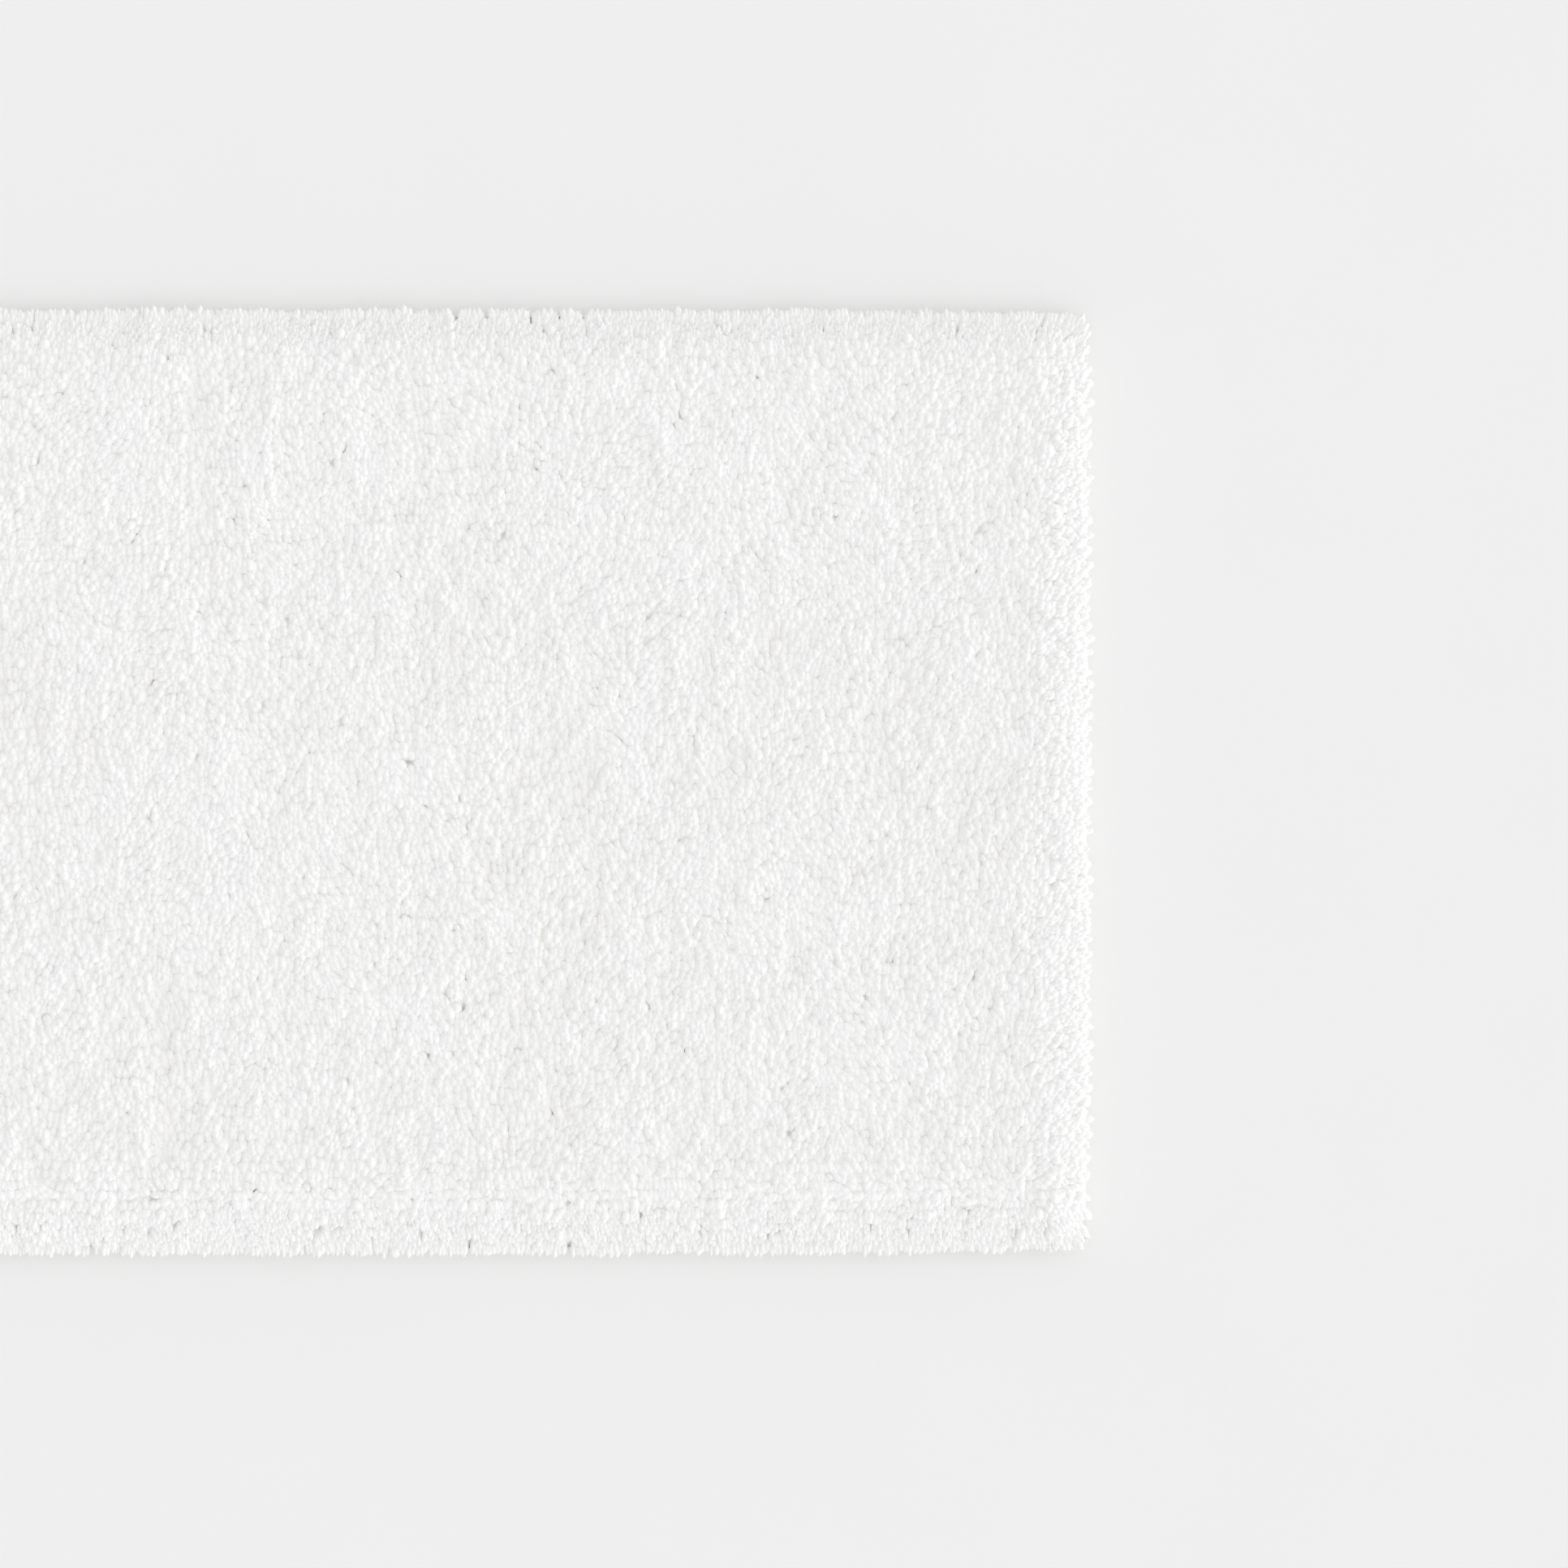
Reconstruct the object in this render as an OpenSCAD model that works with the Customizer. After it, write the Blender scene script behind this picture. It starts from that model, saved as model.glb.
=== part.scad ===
// Tufted bath mat: cut pile on a woven backing with a latex back, a turned and taped hem and grip dots.
// Millimetres. The origin is under the middle of the mat, on the floor it lies on.
// +X runs along its length, +Y across its width and +Z up through the pile.

/* [Mat] */
// Length over the pile
mat_l = 864; // [500:1:1500]
// Width over the pile
mat_w = 508; // [350:1:900]
// Radius of the backing's corners
corner_r = 6; // [4:0.5:12]

/* [Pile] */
// Length of a tuft above the backing
pile_h = 16.4; // [12:0.1:30]
// How far the tips of the outermost tufts stand out past the backing
pile_overhang = 5.5; // [3:0.5:7]
// Width of the band at the edge where the tufts fan out
fan_w = 36; // [25:1:60]
// Distance between tuft rows
gauge = 4; // [3:0.1:8]
// Gap between two neighbouring rows
row_gap = 0.2; // [0.1:0.05:0.5]
// First row's distance in from the fold of the backing
row_inset = 3; // [2:0.5:6]

/* [Backing and latex] */
// Thickness of the woven backing
backing_t = 0.8; // [0.6:0.05:1.5]
// Width of the margin that is turned under
hem_w = 18; // [12:1:24]
// Thickness of the latex coat
latex_t = 1; // [0.8:0.05:2]
// Width of a back stitch
back_stitch_w = 1.6; // [0.8:0.1:2.4]
// Depth of a back stitch in the latex
back_stitch_h = 0.6; // [0.3:0.05:0.7]

/* [Grip dots] */
// Diameter of a dot
dot_d = 6; // [3:0.5:10]
// Distance between neighbouring dots
dot_pitch = 24; // [16:1:40]
// Clear band between the dots and the tape
dot_clear = 6; // [3:0.5:20]

/* [Hem tape] */
// Width of the tape
tape_w = 24; // [18:1:30]
// Thickness of the tape
tape_t = 1; // [0.8:0.05:1.5]
// Distance from the fold to the tape's outer edge
tape_inset = 2.5; // [2.5:0.1:4]
// Gap between two tapes at a mitre
mitre_gap = 0.1; // [0.05:0.05:0.5]
// Gap between the tape's step and the backing's raw edge
step_gap = 0.3; // [0.2:0.1:1]

/* [Hem stitching] */
// Thread diameter
thread_d = 0.45; // [0.3:0.05:0.5]
// Width of the groove that the thread pulls in
groove_w = 0.9; // [0.7:0.1:1.5]
// Distance from one stitch to the next
stitch_pitch = 6; // [4:0.5:10]
// Length of thread hidden between two stitches
stitch_gap = 1.4; // [1:0.1:2]
// Distance from the tape's edge to a row of stitches
stitch_inset = 3; // [2:0.1:5]

/* [Care label] */
// Width of the folded label
label_w = 32; // [20:1:50]
// How far the label reaches past the tape
label_out = 28; // [15:1:50]
// How far the label is caught under the tape
label_root = 5; // [3:0.5:5]
// Thickness of one ply of the label
label_ply = 0.18; // [0.1:0.01:0.2]
// Gap between the two plies
ply_gap = 0.1; // [0.05:0.01:0.12]
// Place of the label along the right-hand hem
label_y = -110; // [-110:1:110]

/* [Hidden] */
$fn = 48;
cut = 1;

// Layers, from the floor up: tape, turned margin, latex, backing, pile
margin_z = tape_t;
latex_z = margin_z + backing_t;
backing_z = latex_z + latex_t;
pile_z = backing_z + backing_t;

backing_l = mat_l - 2 * pile_overhang;
backing_w = mat_w - 2 * pile_overhang;
half_l = backing_l / 2;
half_w = backing_w / 2;

row_w = gauge - row_gap;
row_n = floor((half_w - row_inset - row_w / 2) / gauge) * 2 + 1;
fan_steps = 6;

// Half the length and half the width that the feet of the tufts cover
foot_l = half_l - row_inset;
foot_w = ((row_n - 1) * gauge + row_w) / 2;

outer_row_in = tape_inset + stitch_inset;
inner_row_in = tape_inset + tape_w - stitch_inset;
tape_in = tape_inset + tape_w;
label_t = 2 * label_ply + ply_gap;

// Where row i stands across the mat
function row_y(i) = (i - (row_n - 1) / 2) * gauge;
// How far a tuft leans out: its foot is at a, the outermost foot at foot, and that one's tip at tip
function lean(a, foot, tip) = (tip - foot) * pow(max(0, 1 - (foot - abs(a)) / fan_w), 1.5) * sign(a);
// A tuft keeps its length, so one that leans out stands lower
function tip_z(out) = pile_z + sqrt(pile_h * pile_h - out * out);

// A slab with a rounded plan and half-round edges, as a folded cloth has
module folded_slab(l, w, r, z0, z1) {
    h = z1 - z0;
    e = h / 2;
    translate([0, 0, z0]) linear_extrude(h) rounded_plan(l - 2 * e, w - 2 * e, r - e);
    for (s = [-1, 1]) {
        translate([-l / 2 + r, s * (w / 2 - e), z0 + e]) rotate([0, 90, 0]) cylinder(h = l - 2 * r, r = e);
        translate([s * (l / 2 - e), -w / 2 + r, z0 + e]) rotate([-90, 0, 0]) cylinder(h = w - 2 * r, r = e);
    }
    for (c = [[1, 1, 0], [-1, 1, 90], [-1, -1, 180], [1, -1, 270]])
        translate([c[0] * (l / 2 - r), c[1] * (w / 2 - r), z0 + e]) rotate(c[2])
            rotate_extrude(angle = 90) translate([r - e, 0]) circle(e);
}

module rounded_plan(l, w, r) {
    square([l - 2 * r, w], center = true);
    square([l, w - 2 * r], center = true);
    for (x = [-1, 1], y = [-1, 1]) translate([x * (l / 2 - r), y * (w / 2 - r)]) circle(r);
}

// Side view of the pile: upright in the middle, fanned out at both ends
module pile_side() {
    feet = [for (i = [0:fan_steps]) foot_l - fan_w * i / fan_steps];
    leans = [for (a = feet) lean(a, foot_l, mat_l / 2)];
    right = [for (i = [0:fan_steps]) [feet[i] + leans[i], tip_z(leans[i])]];
    left = [for (i = [fan_steps:-1:0]) [-right[i][0], right[i][1]]];
    polygon(concat([[-foot_l, pile_z], [foot_l, pile_z]], right, left));
}

// Cut pile: every row of tufts is a solid of its own, standing on the backing
module pile_rows() {
    color("ivory") intersection() {
        for (i = [0:row_n - 1]) tuft_row(row_y(i));
        rotate([90, 0, 0]) translate([0, 0, -mat_w]) linear_extrude(2 * mat_w) pile_side();
        translate([0, 0, pile_z]) linear_extrude(pile_h) rounded_plan(mat_l, mat_w, corner_r + 2);
    }
}

module tuft_row(y) {
    out = lean(y, (row_n - 1) * gauge / 2, (mat_w - row_w) / 2);
    top = tip_z(out);
    side = row_w / 2;
    rotate([90, 0, 90]) translate([0, 0, -mat_l / 2]) linear_extrude(mat_l) polygon([
        [y - side, pile_z], [y + side, pile_z], [y + out + side, top - side / 2],
        [y + out + side / 2, top], [y + out - side / 2, top], [y + out - side, top - side / 2]
    ]);
}

// The yarn of each row runs on under the backing as one line of back stitches
module back_stitch_lines() {
    for (i = [0:row_n - 1])
        translate([-foot_l, row_y(i) - back_stitch_w / 2, backing_z - back_stitch_h])
            cube([2 * foot_l, back_stitch_w, back_stitch_h]);
}

module back_stitches() {
    color("ivory") back_stitch_lines();
}

// Woven cloth with its margins turned under, and a groove where the needle thread pulls in
module primary_backing() {
    color("linen") difference() {
        folded_slab(backing_l, backing_w, corner_r, margin_z, pile_z);
        folded_slab(backing_l - 2 * backing_t, backing_w - 2 * backing_t, corner_r - backing_t, latex_z, backing_z);
        translate([-half_l + hem_w, -half_w + hem_w, margin_z - cut])
            cube([backing_l - 2 * hem_w, backing_w - 2 * hem_w, latex_z - margin_z + cut]);
        thread_grooves(outer_row_in, pile_z - thread_d, pile_z + cut);
        thread_grooves(inner_row_in, pile_z - thread_d, pile_z + cut);
    }
}

// Latex that locks the tufts in; the back stitches are sunk in its upper face
module latex_coat() {
    color("whitesmoke") difference() {
        folded_slab(backing_l - 2 * backing_t, backing_w - 2 * backing_t, corner_r - backing_t, latex_z, backing_z);
        back_stitch_lines();
    }
}

// Staggered latex dots, clear of the tape and the label
module grip_dots() {
    reach_x = half_l - tape_in - dot_clear - dot_d / 2;
    reach_y = half_w - tape_in - dot_clear - dot_d / 2;
    line_pitch = dot_pitch * sin(60);
    nx = floor(reach_x / dot_pitch);
    ny = floor(reach_y / line_pitch);
    color("gainsboro") for (j = [-ny:ny], i = [-nx - 1:nx]) {
        x = (i + abs(j % 2) / 2) * dot_pitch;
        y = j * line_pitch;
        if (abs(x) <= reach_x && !under_label(x, y)) translate([x, y, 0]) cylinder(h = latex_z, d = dot_d);
    }
}

function under_label(x, y) =
    x > half_l - tape_in - label_out - dot_d / 2 - dot_clear / 2
    && abs(y - label_y) < label_w / 2 + dot_d / 2 + dot_clear / 2;

// Section of the tape: flat under the margin, then a step up onto the latex
module tape_section() {
    step = hem_w + step_gap;
    polygon([
        [tape_inset, 0], [step + tape_t / 2, 0], [step + tape_t, backing_t], [tape_in, backing_t],
        [tape_in, backing_t + tape_t], [step + tape_t / 2, backing_t + tape_t],
        [step, tape_t], [tape_inset, tape_t]
    ]);
}

// A tape along one side of length l, with mitred ends, in the frame of that side: X along it, Y inwards
module hem_tape(l) {
    difference() {
        intersection() {
            translate([-l / 2, 0, 0]) rotate([90, 0, 90]) linear_extrude(l) tape_section();
            linear_extrude(latex_z) polygon([
                [-l / 2 + tape_inset + mitre_gap, tape_inset], [l / 2 - tape_inset - mitre_gap, tape_inset],
                [l / 2 - tape_in - mitre_gap, tape_in], [-l / 2 + tape_in + mitre_gap, tape_in]
            ]);
        }
        side_groove(l, outer_row_in, -cut, thread_d);
        side_groove(l, inner_row_in, backing_t - cut, backing_t + thread_d);
    }
}

module side_groove(l, d, z0, z1) {
    translate([-l / 2 + d, d - groove_w / 2, z0]) cube([l - 2 * d, groove_w, z1 - z0]);
}

// Puts a child drawn for one side on all four sides: front, back, left, right
module on_side(side) {
    turn = [0, 180, -90, 90][side];
    away = side < 2 ? half_w : half_l;
    rotate(turn) translate([0, -away, 0]) children();
}

function side_l(side) = side < 2 ? backing_l : backing_w;

module hem_tape_front() { color("oldlace") on_side(0) hem_tape(side_l(0)); }
module hem_tape_back() { color("oldlace") on_side(1) hem_tape(side_l(1)); }
module hem_tape_left() { color("oldlace") on_side(2) hem_tape(side_l(2)); }
module hem_tape_right() {
    color("oldlace") difference() {
        on_side(3) hem_tape(side_l(3));
        translate([half_l - tape_in - cut, label_y - label_w / 2, latex_z - label_t])
            cube([label_root + cut, label_w, label_t + cut]);
    }
}

module thread_grooves(d, z0, z1) {
    for (side = [0:3]) on_side(side) side_groove(side_l(side), d, z0, z1);
}

// One row of lockstitches round the hem, at distance d in from the fold, with its thread centred at z
module stitch_row(d, z) {
    for (side = [0:3]) on_side(side) {
        run = side_l(side) - 2 * d - groove_w;
        n = floor(run / stitch_pitch);
        for (i = [0:n - 1]) translate([(i - (n - 1) / 2) * stitch_pitch - (stitch_pitch - stitch_gap) / 2, d, z])
            rotate([0, 90, 0]) cylinder(h = stitch_pitch - stitch_gap, d = thread_d);
    }
}

module outer_bobbin_thread() { color("white") stitch_row(outer_row_in, thread_d / 2); }
module outer_needle_thread() { color("white") stitch_row(outer_row_in, pile_z - thread_d / 2); }
module inner_bobbin_thread() { color("white") stitch_row(inner_row_in, backing_t + thread_d / 2); }
module inner_needle_thread() { color("white") stitch_row(inner_row_in, pile_z - thread_d / 2); }

// Blank satin ribbon, folded in two, with both ends caught under the right-hand tape
module care_label() {
    free = label_out - label_t / 2;
    color("snow") translate([half_l - tape_in, label_y + label_w / 2, latex_z - label_t / 2])
        rotate([90, 0, 0]) linear_extrude(label_w) difference() {
            label_side(free, label_t);
            label_side(free, ply_gap, cut);
        }
}

module label_side(free, t, extra = 0) {
    translate([-free, -t / 2]) square([free + label_root + extra, t]);
    translate([-free, 0]) circle(t / 2);
}

pile_rows();
back_stitches();
primary_backing();
latex_coat();
grip_dots();
hem_tape_front();
hem_tape_back();
hem_tape_left();
hem_tape_right();
outer_bobbin_thread();
outer_needle_thread();
inner_bobbin_thread();
inner_needle_thread();
care_label();
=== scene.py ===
import math
import bpy
import numpy as np
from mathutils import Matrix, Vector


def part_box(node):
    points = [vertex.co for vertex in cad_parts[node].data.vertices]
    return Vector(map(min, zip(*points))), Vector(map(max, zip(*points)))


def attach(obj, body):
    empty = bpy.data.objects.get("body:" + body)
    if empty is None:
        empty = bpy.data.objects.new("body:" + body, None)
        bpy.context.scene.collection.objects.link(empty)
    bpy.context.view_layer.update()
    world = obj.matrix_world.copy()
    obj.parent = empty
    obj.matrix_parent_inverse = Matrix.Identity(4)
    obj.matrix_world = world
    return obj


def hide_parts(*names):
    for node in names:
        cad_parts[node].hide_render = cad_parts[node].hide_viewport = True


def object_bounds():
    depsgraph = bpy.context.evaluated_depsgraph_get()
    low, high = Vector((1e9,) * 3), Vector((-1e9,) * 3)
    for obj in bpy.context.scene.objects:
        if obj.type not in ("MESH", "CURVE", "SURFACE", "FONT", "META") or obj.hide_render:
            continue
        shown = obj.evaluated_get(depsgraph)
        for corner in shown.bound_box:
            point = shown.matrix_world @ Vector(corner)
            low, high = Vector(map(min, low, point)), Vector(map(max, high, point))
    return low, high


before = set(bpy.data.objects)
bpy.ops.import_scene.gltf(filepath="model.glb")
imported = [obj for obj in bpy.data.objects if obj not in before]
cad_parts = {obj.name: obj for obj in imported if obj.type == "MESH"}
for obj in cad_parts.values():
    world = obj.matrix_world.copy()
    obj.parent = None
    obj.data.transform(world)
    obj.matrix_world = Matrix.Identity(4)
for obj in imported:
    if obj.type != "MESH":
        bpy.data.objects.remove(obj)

cadLow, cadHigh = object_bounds()
mm = 0.001


class Wire:  # one output socket; arithmetic on it adds Math nodes, or Vector Math on colours and vectors
    def __init__(self, graph, socket):
        self.graph = graph
        self.socket = socket

    def combine(self, operation, other, swapped=False):
        first, second = (other, self) if swapped else (self, other)
        single = all(w.socket.type == "VALUE" for w in (first, second) if isinstance(w, Wire))
        single = single and not isinstance(other, tuple)
        kind = "ShaderNodeMath" if single else "ShaderNodeVectorMath"
        return self.graph.node(kind, {"operation": operation}, {0: first, 1: second})

    def __add__(self, other):
        return self.combine("ADD", other)

    def __radd__(self, other):
        return self.combine("ADD", other, True)

    def __sub__(self, other):
        return self.combine("SUBTRACT", other)

    def __rsub__(self, other):
        return self.combine("SUBTRACT", other, True)

    def __mul__(self, other):
        return self.combine("MULTIPLY", other)

    def __rmul__(self, other):
        return self.combine("MULTIPLY", other, True)

    def __pow__(self, other):
        return self.combine("POWER", other)

    def math(self, operation, *others):
        return self.graph.node("ShaderNodeMath", {"operation": operation}, dict(enumerate((self, *others))))

    def clamp(self, low=0.0, high=1.0):
        return self.math("MAXIMUM", low).math("MINIMUM", high)

    def ridge(self, pitch):  # 0 to 1 and back once in every pitch, like threads side by side
        return (self * (math.pi / pitch)).math("SINE").math("ABSOLUTE")

    def step(self, low, high):  # 0 below low, 1 above high, smooth between
        return self.graph.node("ShaderNodeMapRange", {"interpolation_type": "SMOOTHSTEP"},
                               {"Value": self, "From Min": low, "From Max": high})


class Graph:  # a node tree under construction
    def __init__(self, tree):
        self.tree = tree

    def feed(self, socket, value):
        if isinstance(value, Wire):
            self.tree.links.new(value.socket, socket)
        elif isinstance(value, tuple) and socket.type == "RGBA":
            socket.default_value = (*value, 1.0)
        elif isinstance(value, (int, float)) and socket.type == "VECTOR":
            socket.default_value = (value,) * 3
        else:
            socket.default_value = value

    def node(self, kind, settings, inputs, output=None):
        made = self.tree.nodes.new(kind)
        for key, value in settings.items():
            setattr(made, key, value)
        for key, value in inputs.items():
            self.feed(made.inputs[key], value)
        chosen = next(s for s in made.outputs if s.enabled) if output is None else made.outputs[output]
        return Wire(self, chosen)

    def place(self):  # the object's own coordinates, in metres
        return self.node("ShaderNodeTexCoord", {}, {}, "Object")

    def attribute(self, name):
        return self.node("ShaderNodeAttribute", {"attribute_name": name}, {}, "Fac")

    def part(self, vector, axis):
        return self.node("ShaderNodeSeparateXYZ", {}, {"Vector": vector}, axis)

    def noise(self, vector, scale, detail=2.0, roughness=0.5):
        inputs = {"Vector": vector, "Scale": scale, "Detail": detail, "Roughness": roughness}
        return self.node("ShaderNodeTexNoise", {}, inputs, "Fac")

    def blend(self, share, first, second):
        return self.node("ShaderNodeMix", {"data_type": "RGBA"}, {0: share, 6: first, 7: second}, 2)

    def bump(self, height, strength, distance):
        inputs = {"Height": height, "Strength": strength, "Distance": distance}
        return self.node("ShaderNodeBump", {}, inputs)


class Look(Graph):  # a material under construction
    def __init__(self, name):
        self.material = bpy.data.materials.new(name)
        self.material.use_nodes = True
        super().__init__(self.material.node_tree)
        self.shader = self.tree.nodes["Principled BSDF"]

    def finish(self, **sockets):
        for key, value in sockets.items():
            self.feed(self.shader.inputs[key.replace("_", " ")], value)
        return self.material


studio = {
    "viewWidth": 0.8346,          # metres that the frame takes in
    "viewCentre": (0.267, -0.001),
    "cameraHeight": 1.9,
    "floorTone": 0.925,
    "floorHalf": 30.0,
    "roomLight": 0.863,
    "roomLean": 0.12,             # how much brighter the key side of the room is than its middle
    "lowGlow": 12.0,              # a low bright strip on the key side, which lights the mat's edge
    "keyStrength": 0.28,
    "keySoftness": 60.0,          # degrees
    "keyFrom": (0.9, -0.16, 1.0),
    "bounces": 24,                # white yarn lights itself from strand to strand
}


def makeCamera():
    data = bpy.data.cameras.new("overheadCamera")
    camera = bpy.data.objects.new("overheadCamera", data)
    bpy.context.scene.collection.objects.link(camera)
    camera.location = (*studio["viewCentre"], cadHigh.z + studio["cameraHeight"])
    data.sensor_width = 36.0
    data.lens = data.sensor_width * studio["cameraHeight"] / studio["viewWidth"]
    bpy.context.scene.camera = camera


def makeFloor():
    look = Look("paleFloor")
    mottle = look.noise(look.place(), 9.0, 3.0)
    tone = studio["floorTone"]
    base = look.blend(mottle, (tone * 0.985,) * 3, (tone,) * 3)
    look.finish(Base_Color=base, Roughness=0.75, Specular_IOR_Level=0.25)
    half = studio["floorHalf"]
    corners = [(-half, -half, 0), (half, -half, 0), (half, half, 0), (-half, half, 0)]
    mesh = bpy.data.meshes.new("floor")
    mesh.from_pydata(corners, [], [(0, 1, 2, 3)])
    mesh.materials.append(look.material)
    floor = bpy.data.objects.new("floor", mesh)
    bpy.context.scene.collection.objects.link(floor)


def makeRoom():
    world = bpy.data.worlds.new("studio")
    world.use_nodes = True
    room = Graph(world.node_tree)
    background = world.node_tree.nodes["Background"]
    direction = room.node("ShaderNodeTexCoord", {}, {}, "Generated")
    x, y, z = studio["keyFrom"]
    flat = math.hypot(x, y)
    toKey = (x / flat, y / flat, 0.0)
    side = room.node("ShaderNodeVectorMath", {"operation": "DOT_PRODUCT"},
                     {0: direction, 1: toKey}, "Value")
    low = 1 - room.part(direction, "Z").math("ABSOLUTE")
    glow = side.clamp() ** 2 * low ** 18 * studio["lowGlow"]
    strength = (side * studio["roomLean"] + 1 + glow) * studio["roomLight"]
    room.feed(background.inputs["Strength"], strength)
    background.inputs["Color"].default_value = (1.0, 1.0, 1.0, 1.0)
    bpy.context.scene.world = world


def makeKey():
    data = bpy.data.lights.new("softKey", "SUN")
    data.energy = studio["keyStrength"]
    data.angle = math.radians(studio["keySoftness"])
    key = bpy.data.objects.new("softKey", data)
    bpy.context.scene.collection.objects.link(key)
    x, y, z = studio["keyFrom"]
    key.rotation_euler = (math.atan2(math.hypot(x, y), z), 0, math.atan2(x, -y))
    bpy.context.scene.view_settings.view_transform = "Standard"
    bpy.context.scene.cycles.max_bounces = studio["bounces"]
    bpy.context.scene.cycles.diffuse_bounces = studio["bounces"]


makeCamera()
makeFloor()
makeRoom()
makeKey()
print("studio ready")


def meshFrom(name, points, quads, triangles, material, marks=None):
    # closed shells, turned so that their faces look outwards; marks are values that the material reads
    points = np.asarray(points).reshape(-1, 3)
    quads, triangles = np.asarray(quads).reshape(-1, 4), np.asarray(triangles, int).reshape(-1, 3)
    a, b, c = (points[np.concatenate([quads[:, k], quads[:, m], triangles[:, n]])]
               for k, m, n in ((0, 0, 0), (1, 2, 1), (2, 3, 2)))
    if np.einsum("ij,ij->i", a, np.cross(b, c)).sum() < 0:
        quads, triangles = quads[:, ::-1], triangles[:, ::-1]
    mesh = bpy.data.meshes.new(name)
    corners = np.concatenate([quads.ravel(), triangles.ravel()]).astype(np.int32)
    starts = np.concatenate([np.arange(len(quads)) * 4, len(quads) * 4 + np.arange(len(triangles)) * 3])
    mesh.vertices.add(len(points))
    mesh.vertices.foreach_set("co", points.astype(np.float32).ravel())
    mesh.loops.add(len(corners))
    mesh.loops.foreach_set("vertex_index", corners)
    mesh.polygons.add(len(starts))
    mesh.polygons.foreach_set("loop_start", starts.astype(np.int32))
    mesh.update(calc_edges=True)
    mesh.polygons.foreach_set("use_smooth", np.ones(len(starts), bool))
    mesh.materials.append(material)
    for label, values in (marks or {}).items():
        values = np.broadcast_to(np.asarray(values, np.float32).ravel(), len(points))
        mesh.attributes.new(label, "FLOAT", "POINT").data.foreach_set("value", np.ascontiguousarray(values))
    piece = bpy.data.objects.new(name, mesh)
    bpy.context.scene.collection.objects.link(piece)
    return piece


def gridQuads(rows, columns, closedRows=False, closedColumns=False):
    i = np.arange(rows if closedRows else rows - 1)[:, None]
    j = np.arange(columns if closedColumns else columns - 1)[None, :]
    k, m = (i + 1) % rows, (j + 1) % columns
    square = (i * columns + j, k * columns + j, k * columns + m, i * columns + m)
    return np.stack(np.broadcast_arrays(*square), -1).reshape(-1, 4)


def gridRim(rows, columns):  # numbers of a grid's outer points, once round
    near, far = np.arange(rows) * columns, (rows - 1) * columns + np.arange(1, columns)
    back = np.arange(rows - 2, -1, -1) * columns + columns - 1
    return np.concatenate([near, far, back, np.arange(columns - 2, 0, -1)])


def cornersRounded(x, y, halfX, halfY, bow):  # what lies outside a rounded corner is moved onto its arc
    pastX, pastY = np.abs(x) - (halfX - bow), np.abs(y) - (halfY - bow)
    past = np.where((pastX > 0) & (pastY > 0), np.hypot(pastX, pastY), 0)
    scale = np.where(past > bow, bow / np.maximum(past, 1e-6), 1)
    x = np.where(past > bow, np.sign(x) * (halfX - bow + pastX * scale), x)
    y = np.where(past > bow, np.sign(y) * (halfY - bow + pastY * scale), y)
    return x, y


def repeated(faces, count, size):  # the same faces for each of count copies that have size points each
    return (np.asarray(faces)[None] + np.arange(count)[:, None, None] * size).reshape(-1, len(faces[0]))


def latticeNoise(x, y, cellX, cellY, seed):  # smooth noise from -1 to 1 with the given cell size
    field = np.random.default_rng(seed).uniform(-1, 1, (64, 64))
    u, v = x / cellX + 32, y / cellY + 32
    i, j = np.floor(u).astype(int), np.floor(v).astype(int)
    s, t = u - i, v - j
    s, t = s * s * (3 - 2 * s), t * t * (3 - 2 * t)
    i, j = i % 63, j % 63
    low = field[i, j] * (1 - s) + field[i + 1, j] * s
    high = field[i, j + 1] * (1 - s) + field[i + 1, j + 1] * s
    return low * (1 - t) + high * t


def settle(piece, node):
    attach(piece, "root")
    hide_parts(node)


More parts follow.
